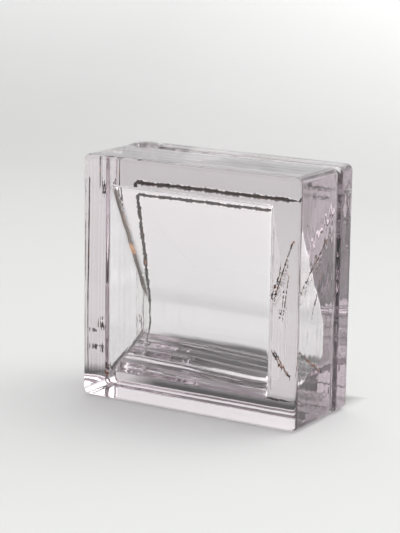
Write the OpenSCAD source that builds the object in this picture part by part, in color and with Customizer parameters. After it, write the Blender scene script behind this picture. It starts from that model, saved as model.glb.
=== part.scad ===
// Pressed glass building block: two parts fused into one along a seam groove,
// with one sealed, prism-shaped hollow behind a thin front wall.
// Millimetres. X is the width, Y runs front to back, Z is up; it stands on Z = 0.

/* [Block] */
// Width of the face, side to side
block_width = 190; // [150:1:300]
// Height of the face, standing on its bottom edge
block_height = 190; // [150:1:300]
// Thickness, front face to back face
block_depth = 80; // [60:1:120]
// Radius of the four long corners
corner_radius = 5; // [2:0.5:10]
// Radius of the edges round the front and the back face
edge_radius = 2; // [0.5:0.5:4]

/* [Seam groove] */
// Width of the groove left round the outside where the two halves were fused
groove_width = 12; // [4:0.5:20]
// Depth of that groove
groove_depth = 1.8; // [0.5:0.1:4]
// Distance of the middle of the groove from the back face
groove_back = 22; // [12:0.5:40]

/* [Hollow] */
// Thickness of the front wall
front_wall = 8; // [5:0.5:25]
// Thickness of glass behind the hollow at its deepest
back_wall = 20; // [10:0.5:30]
// Side wall on the left, seen from the front
left_wall = 21; // [12:0.5:40]
// Side wall on the right, seen from the front
right_wall = 27; // [12:0.5:40]
// Glass under the hollow at the front wall
floor_wall = 20; // [12:0.5:40]
// Glass over the hollow at the front wall
top_wall = 23; // [12:0.5:40]
// How far the floor of the hollow climbs from the front wall to the back
floor_rise = 23.5; // [2:0.5:40]
// Height of the narrow back end of the hollow
back_tall = 26.5; // [8:0.5:60]
// Flat depth at the top of the front end, before the roof slopes down
roof_ledge = 4; // [1:0.5:10]

/* [Seal lump] */
// Height of the lump of glass left on the back left top corner
lump_height = 2; // [0.5:0.1:4]
// Radius of the lump
lump_radius = 13; // [6:0.5:20]

/* [Hidden] */
$fn = 64;
hw = block_width / 2;
hd = block_depth / 2;
front_y = -hd + front_wall;         // front end of the hollow
back_y = hd - back_wall;            // back end of the hollow
groove_mid = hd - groove_back;      // middle of the seam groove
lump_ball = (lump_radius * lump_radius + lump_height * lump_height) / (2 * lump_height);
lump_x = -(hw - lump_radius - 1.5);
lump_y = hd - lump_radius - 1.5;
over = 1;                           // how far cutting shapes run past a face

// Rectangle with rounded corners, centred
module round_rect(w, h, r) {
    union() {
        square([w - 2 * r, h], center = true);
        square([w, h - 2 * r], center = true);
        for (x = [-1, 1], y = [-1, 1])
            translate([x * (w / 2 - r), y * (h / 2 - r)]) circle(r = r);
    }
}

// Outside of the block: three rounded bars crossing, one along each axis
module blank() {
    intersection() {
        translate([0, hd, block_height / 2]) rotate([90, 0, 0])
            linear_extrude(height = block_depth)
                round_rect(block_width, block_height, corner_radius);
        linear_extrude(height = block_height)
            round_rect(block_width, block_depth, edge_radius);
        translate([-hw, 0, block_height / 2]) rotate([90, 0, 90])
            linear_extrude(height = block_width)
                round_rect(block_depth, block_height, edge_radius);
    }
}

// Section of the seam groove, cut into the face that lies along x = 0
module groove_section() {
    polygon([[-over, groove_width / 2 + over], [-over, -groove_width / 2 - over],
             [0, -groove_width / 2], [groove_depth, -groove_width / 4],
             [groove_depth, groove_width / 4], [0, groove_width / 2]]);
}

// Groove round all four outside faces
module seam_groove() {
    translate([-hw, groove_mid, -over])
        linear_extrude(height = block_height + 2 * over) groove_section();
    translate([hw, groove_mid, -over])
        linear_extrude(height = block_height + 2 * over) mirror([1, 0]) groove_section();
    translate([-hw - over, groove_mid, 0]) rotate([90, 0, 90])
        linear_extrude(height = block_width + 2 * over)
            polygon([[groove_width / 2 + over, -over], [groove_width / 2, 0],
                     [groove_width / 4, groove_depth], [-groove_width / 4, groove_depth],
                     [-groove_width / 2, 0], [-groove_width / 2 - over, -over]]);
    translate([-hw - over, groove_mid, block_height]) rotate([90, 0, 90])
        linear_extrude(height = block_width + 2 * over)
            polygon([[groove_width / 2 + over, over], [groove_width / 2, 0],
                     [groove_width / 4, -groove_depth], [-groove_width / 4, -groove_depth],
                     [-groove_width / 2, 0], [-groove_width / 2 - over, over]]);
}

// Sealed hollow, one section along the whole width: tall at the front wall,
// with a floor that climbs and a roof that comes down to a narrow end at the back
module hollow() {
    translate([-hw + left_wall, 0, 0]) rotate([90, 0, 90])
        linear_extrude(height = block_width - left_wall - right_wall)
            polygon([[front_y, floor_wall], [back_y, floor_wall + floor_rise],
                     [back_y, floor_wall + floor_rise + back_tall],
                     [front_y + roof_ledge, block_height - top_wall],
                     [front_y, block_height - top_wall]]);
}

// Low domed lump where the glass was sealed off
module seal_lump() {
    intersection() {
        translate([lump_x, lump_y, block_height + lump_height - lump_ball])
            sphere(r = lump_ball);
        translate([lump_x - lump_radius - over, lump_y - lump_radius - over,
                   block_height - groove_depth - over])
            cube([2 * lump_radius + 2 * over, 2 * lump_radius + 2 * over,
                  lump_height + groove_depth + 2 * over]);
    }
}

module glass_block() {
    color([0.86, 0.83, 0.88, 0.35])
        difference() {
            union() {
                difference() {
                    blank();
                    seam_groove();
                }
                seal_lump();
            }
            hollow();
        }
}

glass_block();
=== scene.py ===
import math
import bpy
import numpy as np
from mathutils import Matrix, Vector


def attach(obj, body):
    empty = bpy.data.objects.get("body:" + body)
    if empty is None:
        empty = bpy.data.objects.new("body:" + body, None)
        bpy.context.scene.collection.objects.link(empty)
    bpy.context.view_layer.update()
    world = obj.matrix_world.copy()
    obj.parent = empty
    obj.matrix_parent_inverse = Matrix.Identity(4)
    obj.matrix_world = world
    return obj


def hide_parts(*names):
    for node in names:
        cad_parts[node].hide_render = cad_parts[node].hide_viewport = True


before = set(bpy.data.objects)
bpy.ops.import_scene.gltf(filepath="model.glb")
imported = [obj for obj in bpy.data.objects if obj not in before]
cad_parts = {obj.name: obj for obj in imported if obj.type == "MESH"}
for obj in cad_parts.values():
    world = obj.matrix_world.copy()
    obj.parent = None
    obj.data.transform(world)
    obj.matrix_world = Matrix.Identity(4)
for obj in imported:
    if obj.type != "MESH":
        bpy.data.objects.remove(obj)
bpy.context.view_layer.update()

# ---------------------------------------------------------------------------
# The block's outside: two gobs of soda-lime glass pressed in a mould and fused
# while hot into one piece. The joint shows as a shallow groove round the four
# sides, and the seal as a low lump. Sizes are in millimetres up to the mesh.
# ---------------------------------------------------------------------------
MM = 0.001
HALF_WIDTH, HEIGHT, HALF_DEPTH = 95.0, 190.0, 40.0
LONG_CORNER, FACE_EDGE = 5.0, 2.0                     # radii of the outside edges
GROOVE_MID, GROOVE_WIDTH, GROOVE_DEPTH = 18.0, 12.0, 1.8
LUMP_X, LUMP_Y, LUMP_RADIUS, LUMP_HEIGHT = -80.5, 25.5, 13.0, 2.0
LUMP_RIM = 2                                          # points this far past it may be lifted
SIDE_STEPS, CORNER_STEPS = 60, 10                     # grid cells along a side, round a corner
SIDE_RINGS, CAP_RINGS, FILLET_RINGS = 72, 18, 5       # rings along the block, on a face, on an edge
INNERMOST = 0.985                                     # share of the way in to a cap's last ring


def rounded_outline(side_steps, corner_steps):
    """Walks once round a rectangle with round corners, anticlockwise in X-Z.

    Gives where the corner circle's centre sits (-1 to 1 on each axis) and the angle
    on that circle, so a point is middle + centre * (half - r) + r * (cos, sin)."""
    ease = np.arange(side_steps) / side_steps * 2 - 1
    quarter_turn = np.arange(corner_steps) / corner_steps * math.pi / 2
    ones = np.ones(side_steps)
    corner = np.ones(corner_steps)
    cx, cz, angle = [], [], []
    for k, (sx, sz) in enumerate([(1, 1), (-1, 1), (-1, -1), (1, -1)]):
        facing_way = k * math.pi / 2
        upright = k % 2 == 0                           # a side that runs up or down
        cx += [ones * sx if upright else ease * sx, corner * sx]
        cz += [ease * sz if upright else ones * sz, corner * sz]
        angle += [ones * facing_way, facing_way + quarter_turn]
    return np.concatenate(cx), np.concatenate(cz), np.concatenate(angle)


def stacked_shell(left, right, low, high, radius, depth, roundest=0.98):
    """A closed skin through rounded rectangles stacked along Y, one per array entry.

    Each ring is middle + centre * (half size - radius) + radius * (cos, sin), where the
    radius is at most the roundest share of half the smaller side. The first and last
    rings are closed by a fan of triangles to their own middle point."""
    cx, cz, angle = rounded_outline(SIDE_STEPS, CORNER_STEPS)
    half_x, half_z = (right - left)[:, None] / 2, (high - low)[:, None] / 2
    r = np.minimum(radius, np.minimum((right - left), (high - low)) / 2 * roundest)[:, None]
    x = (left + right)[:, None] / 2 + cx * (half_x - r) + r * np.cos(angle)
    z = (low + high)[:, None] / 2 + cz * (half_z - r) + r * np.sin(angle)
    y = np.repeat(depth[:, None], cx.size, axis=1)
    points = np.stack([x, y, z], axis=-1).reshape(-1, 3)
    rings, around = x.shape
    k, i = np.meshgrid(np.arange(rings - 1), np.arange(around), indexing="ij")
    j = (i + 1) % around
    quads = np.stack([k * around + i, (k + 1) * around + i,
                      (k + 1) * around + j, k * around + j], axis=-1).reshape(-1, 4)
    ends = []
    for ring, order in ((0, 1), (rings - 1, -1)):
        middle = points[ring * around:(ring + 1) * around].mean(axis=0)
        i = np.arange(around)
        fan = np.stack([np.full(around, len(points)), ring * around + i,
                        ring * around + (i + 1) % around], axis=-1)
        ends.append(fan[:, ::order])
        points = np.vstack([points, middle])
    return points, quads, np.vstack(ends)


def signed_volume(points, quads, fans):
    """Six times the volume, from the tetrahedra that each triangle makes with the origin."""
    tris = np.vstack([quads[:, [0, 1, 2]], quads[:, [0, 2, 3]], fans])
    a, b, c = points[tris[:, 0]], points[tris[:, 1]], points[tris[:, 2]]
    return float(np.einsum("ij,ij->i", a, np.cross(b, c)).sum())


def facing(points, quads, fans, outward):
    """Turns every face over if the skin encloses volume the wrong way round."""
    if (signed_volume(points, quads, fans) > 0) != outward:
        quads, fans = quads[:, ::-1], fans[:, ::-1]
    return points, quads, fans


def rise(distance, over):
    """0 up to the start and 1 past the end of a straight ramp: distance / over, held."""
    return np.clip(distance / over, 0, 1)


def ripple(t, waves, seed, stretch=(0.85, 1.15)):
    """A smooth wandering line, -1 to 1: the mean of one sine of t for each wavelength,
    with seeded phases and with each wavelength drawn a little off its given value."""
    rng = np.random.default_rng(seed)
    total = np.zeros_like(t, dtype=float)
    for length in waves:
        total += np.sin(t / length * 2 * math.pi * rng.uniform(*stretch)
                        + rng.uniform(0, 2 * math.pi))
    return total / len(waves)


def lifted_ripple(t, waves, seed):
    """The same line brought between 0 and 1: a half plus half the ripple."""
    return 0.5 + 0.5 * ripple(t, waves, seed)


def cap_and_fillet(reach, fillet, face, way):
    """Inset and depth of the rings from the middle of an end face out round its edge.

    The inset falls from nearly the whole reach to the fillet radius on the flat, then to
    nothing on a quarter circle; way is +1 where the skin goes on towards +Y."""
    flat = np.linspace(reach * INNERMOST, fillet, CAP_RINGS)
    turn = np.linspace(0, math.pi / 2, FILLET_RINGS + 1)[1:]
    inset = np.concatenate([flat, fillet * (1 - np.sin(turn))])
    depth = np.concatenate([np.full(CAP_RINGS, face), face + way * fillet * (1 - np.cos(turn))])
    return inset, depth


# Rings of the square, drawn in at both faces and along a cosine wave at the groove
front_inset, front_depth = cap_and_fillet(HALF_WIDTH, FACE_EDGE, -HALF_DEPTH, 1)
back_inset, back_depth = cap_and_fillet(HALF_WIDTH, FACE_EDGE, HALF_DEPTH, -1)
side_depth = np.linspace(-HALF_DEPTH + FACE_EDGE, HALF_DEPTH - FACE_EDGE, SIDE_RINGS + 2)[1:-1]
from_groove = rise(np.abs(side_depth - GROOVE_MID), GROOVE_WIDTH / 2)
side_inset = GROOVE_DEPTH * 0.5 * (1 + np.cos(math.pi * from_groove))
inset = np.concatenate([front_inset, side_inset, back_inset[::-1]])
depth = np.concatenate([front_depth, side_depth, back_depth[::-1]])
corner = np.where(inset > FACE_EDGE, LONG_CORNER * (HALF_WIDTH - inset) / HALF_WIDTH,
                  LONG_CORNER)
outer = stacked_shell(-HALF_WIDTH + inset, HALF_WIDTH - inset, inset, HEIGHT - inset,
                      corner, depth)
x, y, z = outer[0].T.copy()

# Pressed glass is never quite flat: drawn streaks down the sides, slow swell on the faces.
# Every change goes inwards, so that the block keeps its outside size.
SIDE_STREAK, SIDE_SWELL = 0.16, 0.12                  # how deep each relief goes
TOP_SWELL, TOP_STREAK = 0.25, 0.10
FACE_SWELL = 0.10
SWAY, SWAY_HEIGHT = 1.5, 37                           # the streaks lean to and fro going up
EDGE_BAND = 3                                         # relief starts this far in from an edge,
END_FADE, FACE_FADE = 12, 10                          # and dies out over this much towards one
FACE_SKIN, SKIN_FADE = 0.4, 0.3                       # how near a face a point has to lie

on_side = rise(np.abs(x) - (HALF_WIDTH - EDGE_BAND), 1.0) \
    * rise(HALF_DEPTH - FACE_EDGE - np.abs(y), EDGE_BAND)
streak = lifted_ripple(y + SWAY * np.sin(z / SWAY_HEIGHT), [17, 9.5, 6.1], 11)
swell = lifted_ripple(z, [83, 47], 12)
x -= np.sign(x) * on_side * (rise(z, END_FADE) * rise(HEIGHT - z, END_FADE)) \
    * (SIDE_STREAK * streak + SIDE_SWELL * swell)
on_top = rise(z - (HEIGHT - EDGE_BAND), 1.0) \
    * rise(HALF_DEPTH - FACE_EDGE - np.abs(y), EDGE_BAND)
z -= on_top * rise(HALF_WIDTH - np.abs(x), END_FADE) \
    * (TOP_SWELL * lifted_ripple(x + y, [61, 34, 21], 13)
       + TOP_STREAK * lifted_ripple(y, [13, 8], 14))
on_face = rise(np.abs(y) - (HALF_DEPTH - FACE_SKIN), SKIN_FADE) \
    * rise(HALF_WIDTH - EDGE_BAND - np.abs(x), FACE_FADE) \
    * rise(z - EDGE_BAND, FACE_FADE) * rise(HEIGHT - EDGE_BAND - z, FACE_FADE)
y -= np.sign(y) * on_face * FACE_SWELL \
    * (0.5 + 0.25 * ripple(x, [77, 41], 15) + 0.25 * ripple(z, [91, 53], 16))

# The lump where the glass was sealed off: the cap of a ball on the back left top corner
lump_ball = (LUMP_RADIUS ** 2 + LUMP_HEIGHT ** 2) / (2 * LUMP_HEIGHT)
from_lump = np.hypot(x - LUMP_X, y - LUMP_Y)
dome = np.sqrt(np.maximum(lump_ball ** 2 - from_lump ** 2, 0)) - lump_ball + HEIGHT + LUMP_HEIGHT
under_lump = (z > HEIGHT - EDGE_BAND) & (from_lump < LUMP_RADIUS + LUMP_RIM)
z = np.where(under_lump, np.maximum(z, dome), z)
outer = facing(np.stack([x, y, z], axis=-1), outer[1], outer[2], True)

# ---------------------------------------------------------------------------
# The sealed hollow: the plunger leaves it tall behind the thin front wall and
# narrow at the back, with rounded ends and a floor and roof that the plunger
# chilled into waves. Its skin faces inwards, into the air.
# ---------------------------------------------------------------------------
HOLLOW_LEFT, HOLLOW_RIGHT = -74.0, 68.0
HOLLOW_FRONT, HOLLOW_BACK = -32.0, 20.0
FRONT_ROUND, BACK_ROUND, HOLLOW_CORNER = 1.6, 6.0, 3.0    # radii of its edges
FLOOR_FRONT, FLOOR_BACK = 20.0, 43.5
ROOF_FRONT, ROOF_BACK, ROOF_LEDGE = 167.0, 70.0, 4.0
FRONT_RINGS, BACK_RINGS, ROUND_RINGS, RAMP_RINGS = 18, 14, 9, 58    # on each part of it
BACK_INNERMOST = 0.97                                 # as INNERMOST, on the back end


def hollow_at(depth):
    """Height of the floor and of the roof at a depth, both straight ramps to the back."""
    along = (depth - HOLLOW_FRONT) / (HOLLOW_BACK - HOLLOW_FRONT)
    down = rise(depth - HOLLOW_FRONT - ROOF_LEDGE, HOLLOW_BACK - HOLLOW_FRONT - ROOF_LEDGE)
    return FLOOR_FRONT + (FLOOR_BACK - FLOOR_FRONT) * along, \
        ROOF_FRONT + (ROOF_BACK - ROOF_FRONT) * down


# Rings from the middle of its front end, round its edge, down the ramp and into its back end
turn = np.linspace(0, math.pi / 2, ROUND_RINGS + 1)[1:]
ramp = np.linspace(HOLLOW_FRONT + FRONT_ROUND, HOLLOW_BACK - BACK_ROUND, RAMP_RINGS + 2)[1:-1]
depth = np.concatenate([np.full(FRONT_RINGS, HOLLOW_FRONT),
                        HOLLOW_FRONT + FRONT_ROUND * (1 - np.cos(turn)), ramp,
                        HOLLOW_BACK - BACK_ROUND * (1 - np.cos(turn[::-1])),
                        np.full(BACK_RINGS, HOLLOW_BACK)])
inset = np.concatenate([np.full(FRONT_RINGS, FRONT_ROUND), FRONT_ROUND * (1 - np.sin(turn)),
                        np.zeros(RAMP_RINGS), BACK_ROUND * (1 - np.sin(turn[::-1])),
                        np.full(BACK_RINGS, BACK_ROUND)])
shrink = np.concatenate([np.linspace(INNERMOST, 0, FRONT_RINGS),
                         np.zeros(ROUND_RINGS + RAMP_RINGS + ROUND_RINGS),
                         np.linspace(0, BACK_INNERMOST, BACK_RINGS)])
low, high = hollow_at(depth)
low, high = low + inset, high - inset
left, right = HOLLOW_LEFT + inset, HOLLOW_RIGHT - inset
mid_x, mid_z = (left + right) / 2, (low + high) / 2
keep = 1 - shrink
hollow = stacked_shell(mid_x + (left - mid_x) * keep, mid_x + (right - mid_x) * keep,
                       mid_z + (low - mid_z) * keep, mid_z + (high - mid_z) * keep,
                       HOLLOW_CORNER * keep, depth)
x, y, z = hollow[0].T.copy()
floor_z, roof_z = hollow_at(y)


def close_to(distance, core, over):
    """1 close by, then a straight fall to 0: core - distance / over, held."""
    return np.clip(core - distance / over, 0, 1)


# Where the mould's scale sticks: along the left end's upper and, more thinly, lower edges
LOWER_SHARE = 0.6
left_end = close_to(x - HOLLOW_LEFT, 1.5, 4)
sloping = rise(y - HOLLOW_FRONT - EDGE_BAND, 3)
hollow_scale = np.maximum(left_end * sloping * close_to(np.abs(z - roof_z), 1.8, 3),
                          LOWER_SHARE * left_end * close_to(np.abs(z - floor_z), 1.4, 2))

# Waves on the floor, roof and ends, clear of the front and back walls
FLOOR_WAVE, FLOOR_SWELL, ROOF_SWELL = 0.35, 0.25, 0.25
END_SWELL, END_WAVE = 0.25, 0.12
FLOOR_SWAY, SWAY_WIDTH = 2, 31                        # the floor's waves lean going across
WAVE_REACH, WAVE_FADE = 3, 2                          # how near its wall a point has to lie
BACK_CLEAR, WALL_FADE = 2, 4                          # still glass at the back wall
inside = rise(y - HOLLOW_FRONT - EDGE_BAND, WALL_FADE) \
    * rise(HOLLOW_BACK - BACK_CLEAR - y, WALL_FADE)
near_floor = rise(WAVE_REACH - np.abs(z - floor_z), WAVE_FADE) * inside
z += near_floor * (FLOOR_WAVE * ripple(y + FLOOR_SWAY * np.sin(x / SWAY_WIDTH), [15, 9, 5.5], 21)
                   + FLOOR_SWELL * ripple(x, [70, 37], 22))
near_roof = rise(WAVE_REACH - np.abs(z - roof_z), WAVE_FADE) * inside
z += near_roof * ROOF_SWELL * ripple(x, [95, 60], 23)
from_end = np.minimum(np.abs(x - HOLLOW_LEFT), np.abs(x - HOLLOW_RIGHT))
near_end = rise(WAVE_REACH - from_end, WAVE_FADE) * inside
x += near_end * (END_SWELL * ripple(z, [43, 19], 24) + END_WAVE * ripple(y, [12, 7], 25))
hollow = facing(np.stack([x, y, z], axis=-1), hollow[1], hollow[2], False)

# ---------------------------------------------------------------------------
# The thread of air trapped along the joint: one ragged, flattened loop that runs
# round the hollow where the two parts met, all but closed at the right, where
# the glass fused cleanly.
# ---------------------------------------------------------------------------
JOINT_DEPTH = 22.5
THREAD_STEP, THREAD_AROUND = 0.9, 10                  # grid step along it, points round it
JOINT_LEFT, JOINT_RIGHT, JOINT_LOW, JOINT_HIGH = -71.4, 71.4, 11, 165
HAIR, CLOSING = 0.12, 4                               # share left where it has closed, over 4 mm
LOW_SHARE, LOW_END, LOW_FADE = 0.45, 40, 60           # share left low down, and from what height
WANDER, RAGGED_WIDE, RAGGED_THICK, FLATNESS = 0.5, 0.5, 0.4, 0.6
CALM_START = 8                                        # so that the walk's two ends agree


def joint_thread(corners, rounding, half_wide, closed_beyond, seed):
    """A ragged tube round a closed polygon in the joint's plane, as X-Z corners.

    The path walks the polygon and is smoothed by a running mean as wide as the rounding;
    across it, the tube is an ellipse whose two half sizes follow a ripple. Further right
    than closed_beyond the joint has all but closed, and the tube is a hair; low down, where
    the glass lay hottest, it is half as wide."""
    corners = np.array(corners, float)
    ahead = np.roll(corners, -1, axis=0) - corners
    length = np.hypot(*ahead.T)
    start = np.concatenate([[0], np.cumsum(length)])
    lap, count = start[-1], int(start[-1] / THREAD_STEP)
    walk = np.arange(count) / count * lap
    side = np.clip(np.searchsorted(start, walk, side="right") - 1, 0, len(corners) - 1)
    path = corners[side] + ahead[side] * ((walk - start[side]) / length[side])[:, None]
    reach = max(1, int(rounding / THREAD_STEP))
    path = sum(np.roll(path, n, axis=0) for n in range(-reach, reach + 1)) / (2 * reach + 1)
    tangent = np.roll(path, -1, axis=0) - np.roll(path, 1, axis=0)
    tangent /= np.hypot(*tangent.T)[:, None]
    across = np.stack([tangent[:, 1], -tangent[:, 0]], axis=-1)
    calm = rise(np.minimum(walk, lap - walk), CALM_START)
    ragged = calm * ripple(walk, [23, 9, 5, 3.1], seed)
    wander = calm * WANDER * ripple(walk, [61, 33, 12], seed + 1)
    size = half_wide * (HAIR + (1 - HAIR) * rise(closed_beyond - path[:, 0], CLOSING)) \
        * (LOW_SHARE + (1 - LOW_SHARE) * rise(path[:, 1] - LOW_END, LOW_FADE))
    wide, thick = size * (1 + RAGGED_WIDE * ragged), FLATNESS * size * (1 + RAGGED_THICK * ragged)
    tube = np.arange(THREAD_AROUND) / THREAD_AROUND * 2 * math.pi
    spread = wander[:, None] + wide[:, None] * np.cos(tube)
    x = path[:, :1] + across[:, :1] * spread
    z = path[:, 1:] + across[:, 1:] * spread
    y = JOINT_DEPTH + thick[:, None] * np.sin(tube)
    k, i = np.meshgrid(np.arange(count) * THREAD_AROUND, np.arange(THREAD_AROUND), indexing="ij")
    k2, j = np.roll(k, -1, axis=0), (i + 1) % THREAD_AROUND
    quads = np.stack([k + i, k2 + i, k2 + j, k + j], axis=-1).reshape(-1, 4)
    return facing(np.stack([x, y, z], axis=-1).reshape(-1, 3), quads,
                  np.zeros((0, 3), int), False)


ring = joint_thread([(JOINT_LEFT, JOINT_LOW), (JOINT_RIGHT, JOINT_LOW),
                     (JOINT_RIGHT, JOINT_HIGH), (JOINT_LEFT, JOINT_HIGH)],
                    rounding=3, half_wide=1.85, closed_beyond=70, seed=31)

# ---------------------------------------------------------------------------
# Bubbles caught in the glass where the joint was coldest: two clusters at the
# left, and a single one that the glass drew out as it sank.
# ---------------------------------------------------------------------------
DRAWN_MIDDLE, DRAWN_HALF = (-86.3, JOINT_DEPTH, 170), (0.55, 0.45, 15)
CLUSTERS = (((-92, 19, 146), (-84, 25, 166), 12),     # lowest corner, highest corner, count
            ((-92, 19, 24), (-79, 25, 54), 16))
SMALL_BUBBLE, LARGE_BUBBLE = (0.5, 0.4, 0.6), (1.5, 0.9, 2.6)    # half sizes
LUMPINESS = 0.22                                      # how far from round, as a share


def seed_bubble(middle, half, seed, rows=7, cols=12, outward=False):
    """A closed bubble: middle + half sizes * unit sphere * (1 + a small ripple round it).

    Its rows lie on circles of latitude, with a fan of triangles at each pole."""
    tilt = np.linspace(0, math.pi, rows + 2)[1:-1, None]
    turn = np.arange(cols)[None, :] / cols * 2 * math.pi
    lumpy = 1 + LUMPINESS * np.sin(2 * turn + seed) * np.sin(3 * tilt + 2 * seed)
    ball = np.stack([np.sin(tilt) * np.cos(turn) * lumpy, np.sin(tilt) * np.sin(turn) * lumpy,
                     np.cos(tilt) * np.ones_like(turn)], axis=-1).reshape(-1, 3)
    ball = np.vstack([ball, [[0, 0, 1], [0, 0, -1]]])
    k, i = np.meshgrid(np.arange(rows - 1), np.arange(cols), indexing="ij")
    j = (i + 1) % cols
    quads = np.stack([k * cols + i, k * cols + j, (k + 1) * cols + j, (k + 1) * cols + i],
                     axis=-1).reshape(-1, 4)
    i, j = np.arange(cols), (np.arange(cols) + 1) % cols
    top, foot, last = rows * cols, rows * cols + 1, (rows - 1) * cols
    fans = np.vstack([np.stack([np.full(cols, top), j, i], axis=-1),
                      np.stack([np.full(cols, foot), last + i, last + j], axis=-1)])
    return facing(np.asarray(middle) + np.asarray(half) * ball, quads, fans, outward)


draw = np.random.default_rng(7)
bubbles = [seed_bubble(DRAWN_MIDDLE, DRAWN_HALF, 1)]
for lowest, highest, count in CLUSTERS:
    for n in range(count):
        bubbles.append(seed_bubble(draw.uniform(lowest, highest),
                                   draw.uniform(SMALL_BUBBLE, LARGE_BUBBLE), n))

# ---------------------------------------------------------------------------
# Scale from the iron mould, caught in the glass as opaque flakes: in streaks
# beside the hollow's right end, and in a patch low at the front left corner.
# ---------------------------------------------------------------------------
SCALE_WALL = 68.6                                     # just past the hollow's right end
FLAKE_SHAPE = (0.5, 1, 1.3)                           # thin across the wall, long upwards
FLAKE_ROWS, FLAKE_COLS = 4, 7
FLAKE_ACROSS, FLAKE_LIFT = (0.2, 0.9), 0.4            # how far past the wall, and above a line
# each streak: start and end as (depth behind the front face, height), how far the flakes
# fall below its line, how many they are, and their smallest and largest half size
STREAKS = (((16.5, 97), (60, 135), 0.7, 130, (0.3, 0.8)),
           ((16.5, 96), (50, 122), 5.0, 150, (0.15, 0.4)),
           ((38, 78), (53, 112), 1.2, 60, (0.2, 0.7)),
           ((18, 57), (59, 31), 1.2, 90, (0.25, 0.8)))
PATCH_LOW, PATCH_HIGH, PATCH_COUNT = (-79, -31, 12), (-75.2, -25, 26), 30
PATCH_SIZES = (0.3, 1.1)


def streak_of_flakes(start, end, fall, count, sizes):
    """Flakes scattered along a line from one depth and height to another: a point drawn
    evenly on the line, less a normal draw of the fall in height, at a drawn place across."""
    made = []
    for n in range(count):
        along = draw.uniform(0, 1)
        deep = start[0] + (end[0] - start[0]) * along
        high = start[1] + (end[1] - start[1]) * along - abs(draw.normal(0, fall))
        half = draw.uniform(*sizes, 3) * FLAKE_SHAPE
        middle = (SCALE_WALL + draw.uniform(*FLAKE_ACROSS), deep - HALF_DEPTH, high + FLAKE_LIFT)
        made.append(seed_bubble(middle, half, n, FLAKE_ROWS, FLAKE_COLS, True))
    return made


scale_flakes = [flake for line in STREAKS for flake in streak_of_flakes(*line)]
for n in range(PATCH_COUNT):
    scale_flakes.append(seed_bubble(draw.uniform(PATCH_LOW, PATCH_HIGH),
                                    draw.uniform(*PATCH_SIZES, 3), n, FLAKE_ROWS, FLAKE_COLS, True))

# All of it is one piece of glass, so it is one mesh: glass first, then the opaque flakes
GLASS_FINISH, SCALE_FINISH = 0, 1                     # material numbers
skins = (outer, hollow, ring, *bubbles)
glass_faces = sum(len(skin[1]) + len(skin[2]) for skin in skins)
skins = (*skins, *scale_flakes)
points = np.vstack([skin[0] for skin in skins]) * MM
faces, start = [], 0
for skin in skins:
    faces += (skin[1] + start).tolist() + (skin[2] + start).tolist()
    start += len(skin[0])
mesh = bpy.data.meshes.new("pressed_glass")
mesh.from_pydata(points.tolist(), [], faces)
mesh.shade_smooth()
finish_of = np.full(len(faces), GLASS_FINISH, np.int32)
finish_of[glass_faces:] = SCALE_FINISH
mesh.polygons.foreach_set("material_index", finish_of)
# the mark for stains is 0 outside, as worked out above in the hollow, and 1 on the rest
scale_mark = np.concatenate([np.zeros(len(outer[0])), hollow_scale,
                             np.ones(sum(len(skin[0]) for skin in skins[2:]))])
mesh.attributes.new("mould_scale", "FLOAT", "POINT").data.foreach_set(
    "value", scale_mark.astype(np.float32))
block = bpy.data.objects.new("pressed_glass_block", mesh)
bpy.context.scene.collection.objects.link(block)
bpy.context.view_layer.update()

# ---------------------------------------------------------------------------
# Finish of the glass: clear soda-lime glass with a faint mauve cast that deepens
# with thickness, fire-polished, stained where scale from the iron mould stuck to
# it. The flakes themselves are matt, black-brown to rust.
# ---------------------------------------------------------------------------
GLASS_INDEX = 1.52


def add_node(tree, kind, inputs=None, **options):
    """Adds one node: sets its options, then fills each input named or numbered in
    inputs from a plain value or from another node's output."""
    node = tree.nodes.new(kind)
    for option, value in options.items():
        setattr(node, option, value)
    for name, value in (inputs or {}).items():
        if isinstance(value, bpy.types.NodeSocket):
            tree.links.new(value, node.inputs[name])
        else:
            node.inputs[name].default_value = value
    return node


def spread_over(tree, value, start, end, low=0.0, high=1.0):
    """Gives low up to the start, high past the end, and a straight line between them."""
    return add_node(tree, "ShaderNodeMapRange",
                    {"Value": value, "From Min": start, "From Max": end,
                     "To Min": low, "To Max": high}).outputs["Result"]


def worked_out(tree, operation, first, second=0.0):
    """Gives one sum of two values, or of one value where the sum needs no second."""
    return add_node(tree, "ShaderNodeMath", {0: first, 1: second},
                    operation=operation).outputs["Value"]


def blended(tree, share, none, whole):
    """Gives a colour between two: the first at a share of 0, the second at 1."""
    return add_node(tree, "ShaderNodeMix", {"Factor": share, "A": none, "B": whole},
                    data_type="RGBA").outputs["Result"]


# Scale drifts from black-brown to rust: slow noise, spread over a range, mixes two colours
rusting = bpy.data.node_groups.new("scale_drifting_to_rust", "ShaderNodeTree")
for name, kind in (("Place", "Vector"), ("Noise Scale", "Float"), ("Rust Starts", "Float"),
                   ("Rust Full", "Float"), ("Black", "Color"), ("Rust", "Color")):
    rusting.interface.new_socket(name, in_out="INPUT", socket_type="NodeSocket" + kind)
rusting.interface.new_socket("Colour", in_out="OUTPUT", socket_type="NodeSocketColor")
given = add_node(rusting, "NodeGroupInput").outputs
drift = add_node(rusting, "ShaderNodeTexNoise", {"Vector": given["Place"],
                                                 "Scale": given["Noise Scale"], "Detail": 3.0})
rusty = spread_over(rusting, drift.outputs["Fac"], given["Rust Starts"], given["Rust Full"])
add_node(rusting, "NodeGroupOutput",
         {"Colour": blended(rusting, rusty, given["Black"], given["Rust"])})

glass = bpy.data.materials.new("mauve_glass")
glass.use_nodes = True
tree = glass.node_tree
tree.nodes.clear()
place = add_node(tree, "ShaderNodeTexCoord").outputs["Object"]

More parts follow.
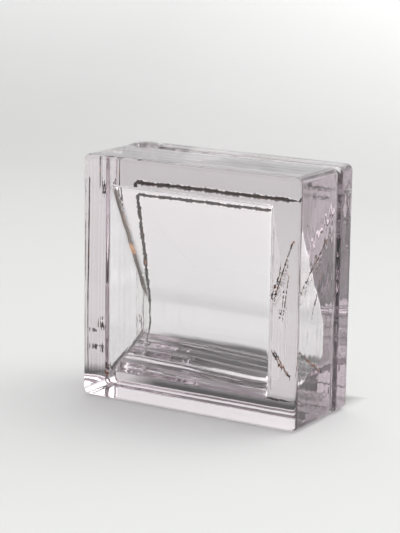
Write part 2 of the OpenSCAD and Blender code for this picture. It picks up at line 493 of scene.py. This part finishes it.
# Stains: fine noise, kept only where the mesh is marked
mark = add_node(tree, "ShaderNodeAttribute", attribute_name="mould_scale")
specks = add_node(tree, "ShaderNodeTexNoise", {"Vector": place, "Scale": 320.0, "Detail": 4.0})
SPECK_STARTS, SPECK_FULL = 0.26, 0.36                 # low, so that most of the mark shows
few = spread_over(tree, specks.outputs["Fac"], SPECK_STARTS, SPECK_FULL)
stained = worked_out(tree, "MULTIPLY", mark.outputs["Fac"], few)
stain = add_node(tree, "ShaderNodeGroup",
                 {"Place": place, "Noise Scale": 90.0, "Rust Starts": 0.57, "Rust Full": 0.67,
                  "Black": (0.03, 0.02, 0.015, 1), "Rust": (0.50, 0.17, 0.05, 1)},
                 node_tree=rusting)
glass_colour = blended(tree, stained, (1, 1, 1, 1), stain.outputs["Colour"])

# Fire-polished skin: a very slight orange-peel
peel = add_node(tree, "ShaderNodeTexNoise", {"Vector": place, "Scale": 55.0, "Detail": 2.0})
bump = add_node(tree, "ShaderNodeBump",
                {"Height": peel.outputs["Fac"], "Strength": 0.25, "Distance": 0.0004})
shader = add_node(tree, "ShaderNodeBsdfPrincipled",
                  {"Base Color": glass_colour, "Normal": bump.outputs["Normal"],
                   "IOR": GLASS_INDEX, "Transmission Weight": 1.0, "Roughness": 0.0})

# The cast is in the glass, and its shadow is let through nearly clear
tint = add_node(tree, "ShaderNodeVolumeAbsorption",
                {"Color": (0.38, 0.24, 0.31, 1), "Density": 5.0})
ray = add_node(tree, "ShaderNodeLightPath")
pale = add_node(tree, "ShaderNodeBsdfTransparent", {"Color": (0.88, 0.87, 0.88, 1)})
either = add_node(tree, "ShaderNodeMixShader",
                  {0: ray.outputs["Is Shadow Ray"], 1: shader.outputs[0], 2: pale.outputs[0]})
add_node(tree, "ShaderNodeOutputMaterial",
         {"Surface": either.outputs[0], "Volume": tint.outputs[0]})
mesh.materials.append(glass)

iron = bpy.data.materials.new("iron_scale")
iron.use_nodes = True
tree = iron.node_tree
place = add_node(tree, "ShaderNodeTexCoord").outputs["Object"]
flake = add_node(tree, "ShaderNodeGroup",
                 {"Place": place, "Noise Scale": 140.0, "Rust Starts": 0.42, "Rust Full": 0.60,
                  "Black": (0.03, 0.018, 0.012, 1), "Rust": (0.42, 0.16, 0.05, 1)},
                 node_tree=rusting)
shader = tree.nodes["Principled BSDF"]
shader.inputs["Roughness"].default_value = 0.75
tree.links.new(flake.outputs["Colour"], shader.inputs["Base Color"])
mesh.materials.append(iron)

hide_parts("glass_block")
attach(block, "root")

# ---------------------------------------------------------------------------
# Studio: a white paper sweep that bends up behind the block, one large soft box
# overhead, and a room that is bright behind and dark in front, which the glass
# picks up along its edges. Sizes from here on are in metres.
# ---------------------------------------------------------------------------
SWEEP_FRONT, SWEEP_BACK, SWEEP_BEND, SWEEP_TOP = -2.2, 1.5, 0.8, 2.8
SWEEP_LEFT, SWEEP_RIGHT = -1.75, 3.0
SWEEP_GAP = 0.0008                                    # keeps the paper off the glass
BEND_STEPS = 12

# The paper's section in Y-Z: flat, then a quarter circle, then upright
bend = np.linspace(0, 1, BEND_STEPS + 1)[1:-1] * math.pi / 2
bend_start = SWEEP_BACK - SWEEP_BEND
sweep_y = np.concatenate([[SWEEP_FRONT, bend_start], bend_start + SWEEP_BEND * np.sin(bend),
                          [SWEEP_BACK, SWEEP_BACK]])
sweep_z = np.concatenate([[0, 0], SWEEP_BEND * (1 - np.cos(bend)), [SWEEP_BEND, SWEEP_TOP]])
sweep_x = np.tile([SWEEP_LEFT, SWEEP_RIGHT], len(sweep_y))
sweep_points = np.stack([sweep_x, np.repeat(sweep_y, 2),
                         np.repeat(sweep_z, 2) - SWEEP_GAP], axis=-1)
pair = np.arange(len(sweep_y) - 1)[:, None] * 2
sweep_mesh = bpy.data.meshes.new("paper_sweep")
sweep_mesh.from_pydata(sweep_points.tolist(), [], (pair + [0, 1, 3, 2]).tolist())
sweep_mesh.shade_smooth()
sweep = bpy.data.objects.new("paper_sweep", sweep_mesh)
bpy.context.scene.collection.objects.link(sweep)

PAPER_WHITE, PAPER_SHADED = (0.78, 0.78, 0.775, 1), (0.10, 0.10, 0.10, 1)
WASH_HEIGHT, WASH_GLOW = 0.35, 0.62                   # where the wash is full, and its strength
WASH_LEFT, WASH_RIGHT, WASH_GAIN = -0.8, 1.0, 2.8     # the wash grows this much to the right
SHADE_MIDDLE_Y = 0.022                                # the shaded patch lies a little behind
SHADE_FULL_X, SHADE_GONE_X = 0.066, 0.096             # half width where the shade starts to
SHADE_FULL_Y, SHADE_GONE_Y = 0.034, 0.056             # fade and where it ends; the same in Y
paper = bpy.data.materials.new("white_paper")
paper.use_nodes = True
tree = paper.node_tree
spot = add_node(tree, "ShaderNodeSeparateXYZ",
                {0: add_node(tree, "ShaderNodeTexCoord").outputs["Object"]}).outputs
# close under and behind the block hardly any light reaches the paper
past_x = worked_out(tree, "ABSOLUTE", spot["X"])
past_y = worked_out(tree, "ABSOLUTE", worked_out(tree, "SUBTRACT", spot["Y"], SHADE_MIDDLE_Y))
lit = worked_out(tree, "MAXIMUM", spread_over(tree, past_x, SHADE_FULL_X, SHADE_GONE_X),
                 spread_over(tree, past_y, SHADE_FULL_Y, SHADE_GONE_Y))
# the upright part glows a little, as if a second lamp washed it, so that it stays even
wash = spread_over(tree, spot["Z"], 0.0, WASH_HEIGHT, 0.0, WASH_GLOW)
brighter_right = spread_over(tree, spot["X"], WASH_LEFT, WASH_RIGHT, 1.0, WASH_GAIN)
glow = worked_out(tree, "MULTIPLY", worked_out(tree, "MULTIPLY", wash, brighter_right), lit)
shader = tree.nodes["Principled BSDF"]
shader.inputs["Roughness"].default_value = 0.9
shader.inputs["Specular IOR Level"].default_value = 0.1
shader.inputs["Emission Color"].default_value = (1, 1, 1, 1)
tree.links.new(blended(tree, lit, PAPER_SHADED, PAPER_WHITE), shader.inputs["Base Color"])
tree.links.new(glow, shader.inputs["Emission Strength"])
# the paper has one side only: looked at from behind it is clear, and never hides the block
side, ray = add_node(tree, "ShaderNodeNewGeometry"), add_node(tree, "ShaderNodeLightPath")
from_behind = worked_out(tree, "MULTIPLY", side.outputs["Backfacing"],
                         ray.outputs["Is Camera Ray"])
one_sided = add_node(tree, "ShaderNodeMixShader",
                     {0: from_behind, 1: shader.outputs[0],
                      2: add_node(tree, "ShaderNodeBsdfTransparent").outputs[0]})
tree.links.new(one_sided.outputs[0], tree.nodes["Material Output"].inputs["Surface"])
sweep_mesh.materials.append(paper)

# The room, by direction: bright behind, brighter above, and dim far to the left. The two
# numbers after a direction are how far along it the change starts and ends, from -1 to 1.
REAR_DIM, REAR_BRIGHT, ABOVE_BRIGHT, LEFT_DIM, ROOM_STRENGTH = 0.03, 0.9, 0.55, 0.15, 1.36
world = bpy.data.worlds.new("studio_room")
bpy.context.scene.world = world
world.use_nodes = True
tree = world.node_tree
tree.nodes.clear()
towards = add_node(tree, "ShaderNodeSeparateXYZ",
                   {0: add_node(tree, "ShaderNodeTexCoord").outputs["Generated"]}).outputs
rear = spread_over(tree, towards["Y"], -0.05, 0.35, REAR_DIM, REAR_BRIGHT)
above = spread_over(tree, towards["Z"], 0.1, 0.8, 0.0, ABOVE_BRIGHT)
leftward = spread_over(tree, towards["X"], -0.85, -0.35, LEFT_DIM, 1.0)
brightness = worked_out(tree, "MULTIPLY", worked_out(tree, "ADD", rear, above), leftward)
room_light = add_node(tree, "ShaderNodeBackground",
                      {"Color": brightness, "Strength": ROOM_STRENGTH})
add_node(tree, "ShaderNodeOutputWorld", {"Surface": room_light.outputs[0]})

BOX_SIZE, BOX_WATTS, BOX_PLACE, BOX_AIM = 2.2, 11, (0.5, 0.1, 2.3), (0, 0, 0.09)
soft_box = bpy.data.lights.new("overhead_soft_box", "AREA")
soft_box.shape, soft_box.size, soft_box.energy = "SQUARE", BOX_SIZE, BOX_WATTS
lamp = bpy.data.objects.new("overhead_soft_box", soft_box)
bpy.context.scene.collection.objects.link(lamp)
lamp.location = BOX_PLACE
lamp.rotation_euler = (Vector(BOX_AIM) - Vector(BOX_PLACE)).to_track_quat("-Z", "Y").to_euler()

# Camera: a long lens, to the right of the front face and a little above
VIEW_AZIMUTH, VIEW_ELEVATION, VIEW_ROLL = 31.50, 12.29, 0.82    # degrees
VIEW_DISTANCE, VIEW_LENS, SENSOR = 1.54893, 136.3, 36.0         # metres, then millimetres
AIM = np.array([-0.0139, 0.0, 0.10454])
az, el, roll = (math.radians(a) for a in (VIEW_AZIMUTH, VIEW_ELEVATION, VIEW_ROLL))
back = np.array([math.sin(az) * math.cos(el), -math.cos(az) * math.cos(el), math.sin(el)])
right = np.cross(-back, (0, 0, 1))
right /= np.linalg.norm(right)
up = np.cross(right, -back)
right, up = (right * math.cos(roll) + up * math.sin(roll),
             up * math.cos(roll) - right * math.sin(roll))
lens = bpy.data.cameras.new("studio_camera")
lens.lens, lens.sensor_width, lens.sensor_fit = VIEW_LENS, SENSOR, "AUTO"
lens.clip_start, lens.clip_end = 0.05, 50.0
camera = bpy.data.objects.new("studio_camera", lens)
bpy.context.scene.collection.objects.link(camera)
pose = np.eye(4)
pose[:3] = np.stack([right, up, back, AIM + back * VIEW_DISTANCE], axis=-1)
camera.matrix_world = Matrix(pose.tolist())
bpy.context.scene.camera = camera

# Light crosses several skins of the glass and is reflected inside it, so it bounces often
GLASS_BOUNCES, GLOSS_BOUNCES = 24, 12
cycles = bpy.context.scene.cycles
cycles.max_bounces = cycles.transmission_bounces = GLASS_BOUNCES
cycles.transparent_max_bounces = GLASS_BOUNCES
cycles.glossy_bounces = GLOSS_BOUNCES
cycles.caustics_reflective = cycles.caustics_refractive = True
bpy.context.scene.view_settings.view_transform = "Standard"
